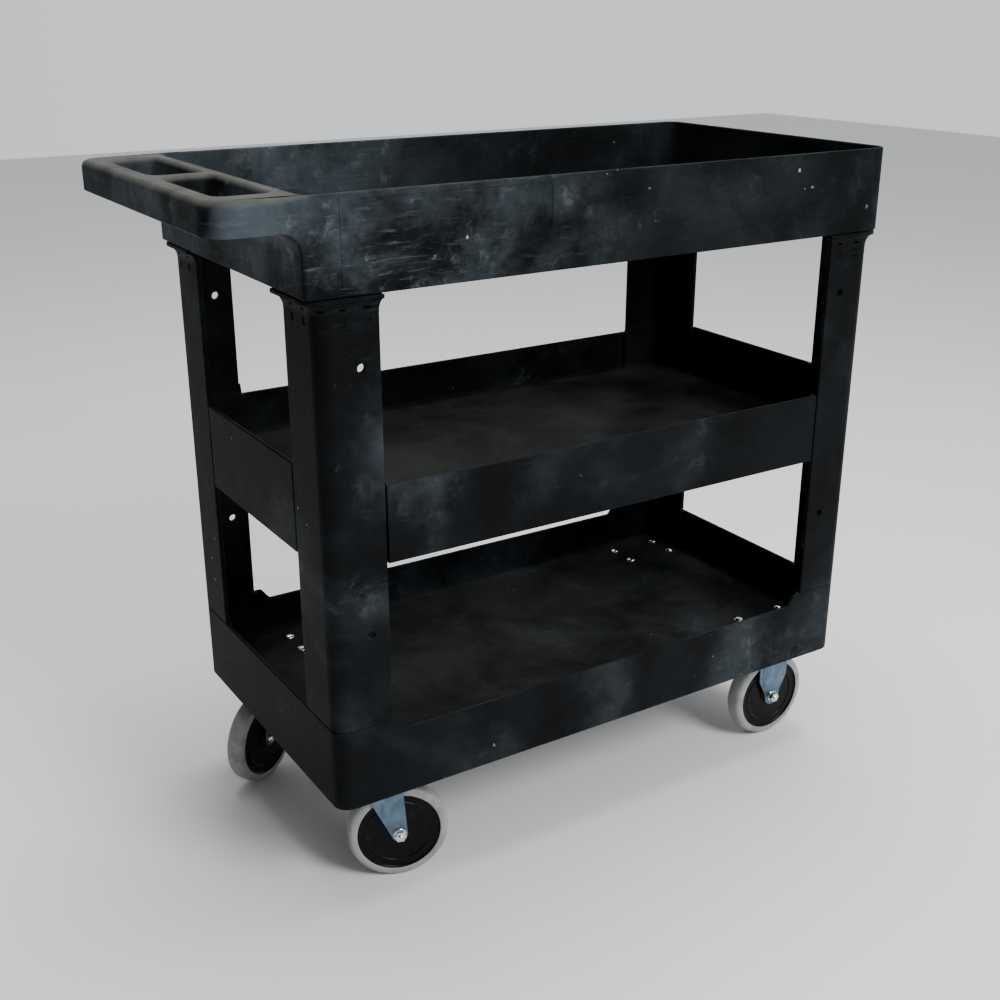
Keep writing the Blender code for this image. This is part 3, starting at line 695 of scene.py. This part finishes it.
def make_top_tray():
    tray = loft("top_tray", top_tray_rings())
    boolean(tray, "UNION", *ribs(TOP_HALF_X, TOP_HALF_Y, top_low.z))
    boolean(tray, "DIFFERENCE", pocket_cutter(-1), pocket_cutter(1), panel_cutter(-1), panel_cutter(1))
    faces = [sorted((side * (TOP_HALF_Y - 0.5 * MM), side * (TOP_HALF_Y + WALL))) for side in (-1, 1)]
    lines = [((-366 * MM, -365.3 * MM), face, (top_low.z - WALL, RIM_TOP - 3 * MM)) for face in faces]
    boolean(tray, "DIFFERENCE", box_piece("parting_lines", lines))
    finish_surface(tray, TOP_PLASTIC, "cart")
    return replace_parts(tray, "top_shelf")


top_tray = make_top_tray()
print("top tray:", len(top_tray.data.polygons), "faces")

# %% [markdown]
# ## Corner posts
# Each post is an L section that spreads into a coved collar under the top tray. It is a loft too, with its
# outline growing towards the collar. Small slots for the snap catches sit under the cove, with a sunk square
# below each, and two holes take hooks. The thin dark line above the collar is a real gap.

# %% Post outlines
FLARE = (TOP_HALF_X - HALF_X, TOP_HALF_Y - HALF_Y)
COLLAR_LIP = 4.5 * MM
COVE_RISE = 16 * MM
SLOT_STEPS = (29 * MM, 58 * MM)
SLOT_Z, SLOT_TALL = 737.5 * MM, 2.6 * MM
SQUARE_Z, SQUARE_TALL = 724 * MM, 8 * MM
HOOK_HOLES = (366 * MM, 674 * MM)  # heights of the holes for hooks
HOOK_IN, HOOK_RADIUS = 49 * MM, 5 * MM


def post_outline(sx, sy, spread=0.0, inset=0.0):
    x = HALF_X + FLARE[0] * spread - inset
    y = HALF_Y + FLARE[1] * spread - inset
    end_x = HALF_X - LEG_X - 5 * MM * spread + inset
    end_y = HALF_Y - LEG_Y - 5 * MM * spread + inset
    inner_x, inner_y = HALF_X - LEG, HALF_Y - LEG
    corners = [
        (x, end_y, 1.6 * MM),
        (x, y, CORNER + 3 * MM * spread - inset),
        (end_x, y, 1.6 * MM),
        (end_x, inner_y, 1.6 * MM),
        (inner_x, inner_y, CORNER - LEG),
        (inner_x, end_y, 1.6 * MM),
    ]
    outline = [Vector((sx * p.x, sy * p.y)) for p in rounded(corners)]
    return outline if sx * sy > 0 else outline[::-1]


def post_rings(sx, sy):
    low, high = bottom_high.z + 0.6 * MM, top_low.z - SEAM
    cove_low = high - COLLAR_LIP - COVE_RISE
    rings = [level(post_outline(sx, sy, 0, 0.8 * MM), low), level(post_outline(sx, sy), low + 0.8 * MM)]
    for turn in quarter_turns(8):
        spread = 1 - math.cos(turn)
        rings.append(level(post_outline(sx, sy, spread), cove_low + COVE_RISE * math.sin(turn)))
    rings.append(level(post_outline(sx, sy, 1), high - 1 * MM))
    rings.append(level(post_outline(sx, sy, 1, 1 * MM), high))
    rings.append(level(post_outline(sx, sy, 0, 2.5 * MM), high))
    rings.append(level(post_outline(sx, sy, 0, 2.5 * MM), top_low.z + 28 * MM))
    return rings


print("posts stand from", round(bottom_high.z / MM), "to", round(top_low.z / MM), "mm")

# %% [markdown]
# One maker serves all four posts, mirrored by two signs. The slots are exact Booleans, since each is a few
# millimetres wide with crisp corners, and the last one sits across the rounded corner.

# %% Posts
def make_post(name, sx, sy):
    post = loft(name.replace("post", "corner_post"), post_rings(sx, sy))
    out_y = sorted((sy * (HALF_Y - 3 * LEG), sy * (TOP_HALF_Y + LEG)))
    places = [(sx * (HALF_X - HOOK_IN), z) for z in HOOK_HOLES]
    holes = rod_piece("holes", places, HOOK_RADIUS, *out_y, "Y")
    slots, squares = [], []
    for away in SLOT_STEPS:
        for along_x in (True, False):
            place = sx * (HALF_X - away) if along_x else sy * (HALF_Y - away)
            face, side = (HALF_Y, sy) if along_x else (HALF_X, sx)
            for spans, half, z, tall, depth in (
                (slots, 4.2 * MM, SLOT_Z, SLOT_TALL, 3.5 * MM),
                (squares, 3.8 * MM, SQUARE_Z, SQUARE_TALL, 0.9 * MM),
            ):
                across = (place - half, place + half)
                through = sorted((side * (face - depth), side * (face + 14 * MM)))
                span_z = (z - tall / 2, z + tall / 2)
                spans.append((across, through, span_z) if along_x else (through, across, span_z))
    across, span_z = (-4 * MM, 4 * MM), (SLOT_Z - SLOT_TALL / 2, SLOT_Z + SLOT_TALL / 2)
    corner_slot = box_piece("corner_slot", [(across, (-3.5 * MM, 16 * MM), span_z)])
    centre = Vector((sx * (HALF_X - CORNER), sy * (HALF_Y - CORNER), 0))
    out = Vector((sx * math.sin(0.66), sy * math.cos(0.66), 0))
    place = Matrix.Translation(centre + out * CORNER + Vector((FRAME_X, 0, 0)))
    place = place @ out.to_track_quat("Y", "Z").to_matrix().to_4x4()
    corner_slot.data.transform(place @ Matrix.Translation((-FRAME_X, 0, 0)))
    slots, squares = box_piece("slots", slots), box_piece("squares", squares)
    boolean(post, "DIFFERENCE", holes, slots, squares, corner_slot)
    finish_surface(post, POST_PLASTIC, "cart")
    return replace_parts(post, name)


posts = []
for end_name, end_sign in (("rear", -1), ("front", 1)):
    for side_name, side_sign in (("right", -1), ("left", 1)):
        posts.append(make_post("post_%s_%s" % (end_name, side_name), end_sign, side_sign))
print("posts:", [len(post.data.polygons) for post in posts], "faces")

# %% [markdown]
# ## Finishes for the casters
# Zinc plate is a metal with a cool cast and soft cloudy patches, and the bolts are the same metal polished.
# The hubs are black nylon with a satin sheen, and the tyres a pale grey elastomer that dust dulls.

# %% Metals, nylon and tyre
def plated_steel(name, pale, deep, smooth, cloudy):
    shader = Shader(name, smooth, metallic=1.0)
    cloud = shader.ramp(shader.noise(38, 4, 0.6, 0.8), 0.35, 0.7)
    shader.colour(shader.mix(cloud, deep, pale))
    grain = shader.noise(1.0, 3, 0.6, 0.2, shader.stretched((900, 900, 90)))
    fine = shader.ramp(grain, 0.3, 0.7, smooth - cloudy, smooth + cloudy)
    shader.roughness(shader.maths("ADD", fine, shader.times(cloud, 0.08)))
    shader.bump(grain, 0.06, 0.0002)
    return shader.material


def satin_nylon(name):
    shader = Shader(name, 0.3, specular=0.1)
    dust = shader.ramp(shader.noise(60, 6, 0.7), 0.5, 0.8)
    shader.colour(shader.mix(dust, (0.0015, 0.0016, 0.0016), (0.008, 0.0085, 0.008)))
    shader.roughness(shader.ramp(dust, 0, 1, 0.27, 0.5))
    shader.bump(shader.noise(420, 2), 0.08, 0.0003)
    return shader.material


def grey_tyre(name):
    shader = Shader(name, 0.55, specular=0.35)
    soil = shader.ramp(shader.noise(45, 6, 0.68, 0.6), 0.4, 0.78)
    shader.colour(shader.mix(soil, (0.27, 0.275, 0.28), (0.15, 0.15, 0.146)))
    shader.roughness(shader.ramp(soil, 0, 1, 0.5, 0.7))
    shader.bump(shader.noise(700, 3), 0.12, 0.0003)
    return shader.material


ZINC = plated_steel("zinc_plate", (0.135, 0.2, 0.265), (0.08, 0.125, 0.175), 0.3, 0.06)
BRIGHT = plated_steel("polished_bolts", (0.84, 0.85, 0.84), (0.6, 0.62, 0.63), 0.17, 0.05)
NYLON = satin_nylon("black_nylon")
TYRE = grey_tyre("grey_tyre")
print("caster finishes:", ZINC.name, BRIGHT.name, NYLON.name, TYRE.name)

# %% [markdown]
# ## Turned pieces
# Wheels, washers and bolt heads are all round, so each is a profile of (radius, height) points spun about an
# axis. A nut is the same thing with six sides. The axes come from the packed joints, so every wheel turns
# true however its caster is swung.

# %% Spinning a profile
def turned(name, profile, place, steps=96, ring=False):
    """A closed solid of revolution about the place's Z axis, from (radius, height) points in millimetres."""
    work = bmesh.new()
    rows = []
    for radius, height in profile:
        count = steps if radius else 1
        turns = [2 * math.pi * step / steps for step in range(count)]
        spots = [Vector((radius * math.cos(t), radius * math.sin(t), height)) * MM for t in turns]
        rows.append([work.verts.new(place @ spot) for spot in spots])
    pairs = list(zip(rows, rows[1:]))
    if ring:
        pairs.append((rows[-1], rows[0]))
    for lower, upper in pairs:
        for step in range(steps):
            after = (step + 1) % steps
            corners = [lower[step % len(lower)], lower[after % len(lower)]]
            corners += [upper[after % len(upper)], upper[step % len(upper)]]
            work.faces.new(dict.fromkeys(corners))
    bmesh.ops.recalc_face_normals(work, faces=work.faces)
    return scene_object(name, work)


def both_sides(profile):
    """A profile for one side of a wheel, and its mirror image on the other side."""
    return profile + [(radius, -height) for radius, height in reversed(profile)]


def dome(radius, rise, base, steps=6):
    """A bolt head's profile from its crown down to its edge."""
    return [
        (radius * math.sin(math.pi / 2 * step / steps), base + rise * math.cos(math.pi / 2 * step / steps))
        for step in range(steps + 1)
    ]


print("a domed head has", len(dome(8, 4.5, 0)), "points in its profile")

# %% [markdown]
# ### Bolts through the lowest deck
# Sixteen domed bolts hold the caster plates up against the deck, with a nut under each plate. Only the heads
# show from above, and the nuts from below.

# %% Mounting bolts and their nuts
PLATE_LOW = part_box("rear_right_top_plate")[0].z
DECK_TOP = bottom_low.z + DECK_RISE


def make_mounting_bolt(number, x, y):
    node = "mounting_bolt_%02d" % number
    deck, end = DECK_TOP / MM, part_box(node)[0].z / MM
    profile = dome(8, 3.9, deck + 0.6) + [(8, deck), (4, deck), (4, end + 0.6), (3.3, end), (0, end)]
    place = Matrix.Translation((x, y, 0))
    bolt = turned(node.replace("bolt", "carriage_bolt"), profile, place, 32)
    finish_surface(bolt, BRIGHT, "cart")
    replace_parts(bolt, node)
    top = PLATE_LOW / MM - 0.05
    nut = [(4.05, top), (7.2, top), (7.5, top - 0.5), (7.5, top - 4.6), (7.0, top - 5.2), (4.05, top - 5.2)]
    place = place @ Matrix.Rotation(0.4 * number, 4, "Z")
    nut = turned("plate_nut_%02d" % number, nut, place, 6, ring=True)
    finish_surface(nut, BRIGHT, "cart", sharp=20)


for number, (x, y) in enumerate(BOLT_PLACES, start=1):
    make_mounting_bolt(number, x, y)
print(len(BOLT_PLACES), "bolts, heads on the deck at", round(DECK_TOP / MM, 1), "mm")

# %% [markdown]
# ### Where each caster stands
# A caster's own frame has its origin on the floor, under the swivel pin or the rigid bracket's middle, and X
# along the way it trails. The packed joints give all of it.

# %% Caster frames
JOINTS = {joint["name"]: joint for joint in frame["joints"]}


def caster_frame(corner):
    """The caster's frame, the distance from its origin to the axle, and the axle's own place."""
    spin = JOINTS[corner + "_wheel_spin"]
    centre, axis = Vector(spin["pos_m"]), Vector(spin["axis"])
    pivot = JOINTS.get(corner + "_swivel_pivot")
    origin = Vector(pivot["pos_m"]) if pivot else centre
    heading = Matrix.Rotation(math.atan2(-axis.x, axis.y), 4, "Z")
    trail = Vector((centre.x - origin.x, centre.y - origin.y)).length
    place = Matrix.Translation((origin.x, origin.y, 0)) @ heading
    axle = Matrix.Translation(centre) @ heading @ Matrix.Rotation(math.pi / 2, 4, "X")
    return place, trail / MM, axle


for corner in ("rear_right", "rear_left", "front_right", "front_left"):
    print(corner, "trails", round(caster_frame(corner)[1], 1), "mm")

# %% [markdown]
# ### Wheels
# The hub is a flat black disc with one thin raised ring near its rim, and the tyre's shoulders roll over
# softly from the side wall to the tread.

# %% Wheels and axles
WHEEL_RADIUS = 63.5
HUB_SIDE = [
    (6.3, 13.2), (6.9, 13.8), (11.8, 13.8), (12.8, 13.2), (13.4, 11.2), (15, 10.5),
    (38.6, 10.1), (39.8, 10.3), (40.4, 11.2), (41.2, 11.5), (42, 11.2), (42.6, 10.3),
    (43.8, 10.1), (49.6, 10.1), (50.8, 10.6), (51.3, 11.9), (51.8, 12.3), (52.35, 12.2),
]
TYRE_SIDE = [
    (52.45, 12.3), (52.9, 12.8), (54.5, 13), (57.2, 12.8), (59.6, 12.1),
    (61.4, 10.8), (62.6, 8.9), (63.25, 6.5), (WHEEL_RADIUS, 3.5), (WHEEL_RADIUS, 1),
]
LEG_FACE, LEG_INSIDE = 17.1, 14.6  # from the middle of the wheel to a leg's outer and inner face


def make_wheel(corner, holder):
    axle = caster_frame(corner)[2]
    body = corner + "_wheel"
    hub = turned(corner + "_nylon_hub", both_sides(HUB_SIDE), axle, ring=True)
    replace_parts(finish_surface(hub, NYLON, body, sharp=50), corner + "_hub")
    tyre = turned(corner + "_tyre", both_sides(TYRE_SIDE), axle, ring=True)
    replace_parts(finish_surface(tyre, TYRE, body, sharp=60), corner + "_tread")

    bush = turned(corner + "_axle_bush", both_sides([(4.1, 14.4), (5.9, 14.4)]), axle, 48, ring=True)
    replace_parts(finish_surface(bush, ZINC, holder), corner + "_bush")
    end = LEG_FACE + 9.2
    head = [(r, -h) for r, h in reversed(dome(6.5, 3.6, LEG_FACE + 0.9))]
    bolt = [(0, end), (3.2, end), (4, end - 0.8), (4, -LEG_FACE), (6.5, -LEG_FACE)] + head
    bolt = turned(corner + "_through_bolt", bolt, axle, 48)
    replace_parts(finish_surface(bolt, BRIGHT, holder), corner + "_axle_bolt")
    low, high = LEG_FACE + 1.3, LEG_FACE + 7.3
    nut = [(4.05, high), (6.3, high), (7.5, high - 0.8), (7.5, low + 0.3), (7.1, low), (4.05, low)]
    nut = turned(corner + "_lock_nut", nut, axle, 6, ring=True)
    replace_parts(finish_surface(nut, BRIGHT, holder, sharp=20), corner + "_axle_nut")
    washer = [(4.1, LEG_FACE + 1.2), (8, LEG_FACE + 1.2), (8.3, LEG_FACE + 0.9)]
    washer += [(8.3, LEG_FACE), (4.1, LEG_FACE)]
    washer = turned(corner + "_washer", washer, axle, 48, ring=True)
    finish_surface(washer, BRIGHT, holder)
    return tyre


for corner in ("rear_right", "rear_left"):
    make_wheel(corner, corner + "_swivel")
for corner in ("front_right", "front_left"):
    make_wheel(corner, "cart")
print("four wheels of", round(2 * WHEEL_RADIUS), "mm")

# %% [markdown]
# ### Pressed steel
# Forks and brackets are cut from sheet and bent, so they are flat pieces of one thickness. A bevel of half
# a millimetre catches the light along every cut edge, which is crisp but never razor-sharp.

# %% Sheet-metal helpers
def sheet_piece(name, outline, low, high, place, upright=False):
    """A flat outline in millimetres, given thickness. An upright one stands in the caster's XZ plane."""
    rings = []
    for depth in (low, high):
        spots = [(x, depth, z) if upright else (x, z, depth) for x, z in outline]
        rings.append([place @ (Vector(spot) * MM) for spot in spots])
    return loft(name, rings)


def softened(piece, width=0.5):
    edge = piece.modifiers.new("cut_edges", "BEVEL")
    edge.width = width * MM
    edge.segments = 2
    edge.limit_method = "ANGLE"
    edge.angle_limit = math.radians(40)
    return settle(piece)


def tapered_leg(axle_x, front, back, tip=10.0, height=WHEEL_RADIUS, steps=20):
    """A leg's side view: down the front edge, round the axle and up the back edge."""

    def tangent(point, side):
        across, up = point[0] - axle_x, point[1] - height
        return math.atan2(up, across) + side * math.acos(tip / math.hypot(across, up))

    start = tangent(front[-1], -1)
    sweep = tangent(back[-1], 1) - 2 * math.pi - start
    turns = [start + sweep * step / steps for step in range(steps + 1)]
    arc = [(axle_x + tip * math.cos(t), height + tip * math.sin(t)) for t in turns]
    return list(front) + arc + list(reversed(back))


print("a fork leg has", len(tapered_leg(33, [(37.5, 140)], [(-14, 140)])), "points")

# %% [markdown]
# ### Swivel casters
# A top plate, a ball race under it, and a fork that turns on a pin. The plate and the race stay with the
# cart, and the fork carries the wheel.

# %% Swivel casters
PLATE_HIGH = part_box("rear_right_top_plate")[1].z / MM
PLATE_THICKNESS = 3
YOKE_LOW, YOKE_HIGH = 139.5, 142
PLATE_HOLES = [(sx * 39.5, sy * 22) for sx in (-1, 1) for sy in (-1, 1)]
PLATE_BORE, AXLE_BORE = 4.3, 4.2


def plate_outline(half_x=49, half_y=32, radius=6):
    quarter = [(half_x, half_y, radius), (-half_x, half_y, radius), (-half_x, -half_y, radius)]
    return rounded(quarter + [(half_x, -half_y, radius)], 8)


def bored(piece, place, spots, radius, low, high):
    """Round holes along the place's Z axis."""
    for x, y in spots:
        spot = place @ Matrix.Translation(Vector((x, y, 0)) * MM)
        bore = [(0, low), (radius, low), (radius, high), (0, high)]
        boolean(piece, "DIFFERENCE", turned("bore", bore, spot, 32))
    return piece


def make_swivel_caster(corner):
    place, trail, axle = caster_frame(corner)
    cart_place = Matrix.Translation(place.translation)
    plate_low = PLATE_HIGH - PLATE_THICKNESS
    plate = sheet_piece(corner + "_mounting_plate", plate_outline(), plate_low, PLATE_HIGH, cart_place)
    bored(plate, cart_place, PLATE_HOLES, PLATE_BORE, plate_low - 5, PLATE_HIGH + 5)
    finish_surface(softened(plate), ZINC, "cart")
    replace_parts(plate, corner + "_top_plate")

    race = [(6.4, plate_low), (25, plate_low), (26.5, plate_low - 1.2), (27, plate_low - 4)]
    race += [(26.2, plate_low - 6.2), (24.4, plate_low - 7.4), (23.2, plate_low - 7.6)]
    race += [(22.4, 143.6), (23.4, 142.2), (6.4, 142.2)]
    race = turned(corner + "_ball_race", race, cart_place, 72, ring=True)
    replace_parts(finish_surface(race, ZINC, "cart"), corner + "_swivel_bearing")
    pin = [(0, PLATE_HIGH - 0.2), (6, PLATE_HIGH - 0.2), (6, 139.2), (10, 139.2), (10, 137.6), (8.4, 135.6)]
    pin = turned(corner + "_pin", pin + [(3, 134.4), (0, 134.4)], cart_place, 48)
    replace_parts(finish_surface(pin, ZINC, "cart"), corner + "_kingpin")

    crown = [(-27, -27, 26), (22, -27, 10), (38, -17.1, 3), (38, 17.1, 3), (22, 27, 10), (-27, 27, 26)]
    fork = sheet_piece(corner + "_yoke", rounded(crown, 10), YOKE_LOW, YOKE_HIGH, place)
    leg = tapered_leg(trail, [(37.5, YOKE_LOW + 1)], [(-14, YOKE_LOW + 1)])
    legs = [sheet_piece("leg", leg, side * LEG_INSIDE, side * LEG_FACE, place, True) for side in (-1, 1)]
    boolean(fork, "UNION", *legs)
    bored(fork, place, [(0, 0)], 6.3, 130, 150)
    bored(fork, axle, [(0, 0)], AXLE_BORE, -30, 30)
    finish_surface(softened(fork), ZINC, corner + "_swivel")
    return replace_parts(fork, corner + "_fork")


for corner in ("rear_right", "rear_left"):
    print(corner, "yoke:", len(make_swivel_caster(corner).data.polygons), "faces")

# %% [markdown]
# ### Rigid casters
# The front pair can't turn, so plate and legs are one pressing. Each leg's edges are folded in a little,
# which stiffens it and leaves a bright ridge down both sides.

# %% Rigid casters
def make_rigid_caster(corner):
    place, trail, axle = caster_frame(corner)
    plate_low = PLATE_HIGH - PLATE_THICKNESS
    bracket = sheet_piece(corner + "_pressing", plate_outline(), plate_low, PLATE_HIGH, place)
    outline = tapered_leg(0, [(26, plate_low + 1), (26, 93.5)], [(-26, plate_low + 1), (-26, 93.5)])
    front, back = [(19.5, plate_low + 1), (19.5, 99)], [(-19.5, plate_low + 1), (-19.5, 99)]
    swage = tapered_leg(0, front, back, tip=13)
    parts = []
    for side in (-1, 1):
        parts.append(sheet_piece("leg", outline, side * LEG_INSIDE, side * (LEG_FACE - 0.7), place, True))
        parts.append(sheet_piece("swage", swage, side * 15.2, side * LEG_FACE, place, True))
    swages = [softened(part, 0.65) for part in parts[1::2]]
    boolean(bracket, "UNION", parts[0], parts[2], *swages)
    bored(bracket, place, PLATE_HOLES, PLATE_BORE, plate_low - 5, PLATE_HIGH + 5)
    bored(bracket, axle, [(0, 0)], AXLE_BORE, -30, 30)
    finish_surface(softened(bracket, 0.35), ZINC, "cart")
    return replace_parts(bracket, corner + "_bracket")


for corner in ("front_right", "front_left"):
    print(corner, "pressing:", len(make_rigid_caster(corner).data.polygons), "faces")

# %% [markdown]
# ## Camera
# A three-quarter view from the handle end and a little above the rim, which shows the two lower decks. The
# lens is a normal one, so the far end shrinks a little, as it does for a person standing there.

# %% Camera
camera_data = bpy.data.cameras.new("camera")
camera_data.lens = 47.3
camera = linked("camera", camera_data)
camera.location = (-0.8823, -1.4026, 1.0365)
camera.rotation_euler = Vector((0.4987, 0.7887, -0.3597)).to_track_quat("-Z", "Y").to_euler()
bpy.context.scene.camera = camera
print("the camera stands", round(camera.location.length, 2), "m from the cart's middle on the floor")

# %% [markdown]
# ## Floor and light
# The sky is brighter ahead of the cart than behind it, so the long walls are lit and the handle end falls
# into shade over a pale, matt floor. One large lamp shows the scuffs, and one above lifts the decks.

# %% Floor and light
floor_mesh = bpy.data.meshes.new("floor")
floor_mesh.from_pydata([(-8, -8, 0), (8, -8, 0), (8, 8, 0), (-8, 8, 0)], [], [(0, 1, 2, 3)])
floor = linked("floor", floor_mesh)
floor_shader = Shader("pale_floor", 0.6)
floor_shader.colour(floor_shader.mix(floor_shader.noise(3.0), (0.74, 0.74, 0.74), (0.78, 0.78, 0.775)))
floor_mesh.materials.append(floor_shader.material)

world = bpy.data.worlds.new("soft_studio")
world.use_nodes = True
sky = world.node_tree
direction = sky.nodes.new("ShaderNodeTexCoord")
split = sky.nodes.new("ShaderNodeSeparateXYZ")
fade = soft_range(sky.nodes, -0.75, 0.35, 0.12, 0.95)
sky.links.new(direction.outputs["Generated"], split.inputs["Vector"])
sky.links.new(split.outputs["X"], fade.inputs["Value"])
sky.links.new(fade.outputs["Result"], sky.nodes["Background"].inputs["Strength"])
sky.nodes["Background"].inputs["Color"].default_value = (0.95, 0.97, 1.0, 1.0)
bpy.context.scene.world = world


def soft_light(name, place, target, size, power, tint):
    data = bpy.data.lights.new(name, "AREA")
    data.shape = "DISK"
    data.size = size
    data.energy = power
    data.color = tint
    lamp = linked(name, data)
    lamp.location = place
    lamp.rotation_euler = (Vector(target) - Vector(place)).to_track_quat("-Z", "Y").to_euler()
    return lamp


soft_light("key_light", (0.9, -3.4, 2.9), (0, 0, 0.4), 1.8, 170, (1.0, 0.99, 0.97))
soft_light("top_light", (0.2, 0.2, 3.6), (0, 0, 0.5), 2.2, 110, (1.0, 0.98, 0.95))

print("lamps:", [lamp.name for lamp in bpy.data.lights])

# %% [markdown]
# ## Sizes
# The surfaces have to stay close to the packed solids.
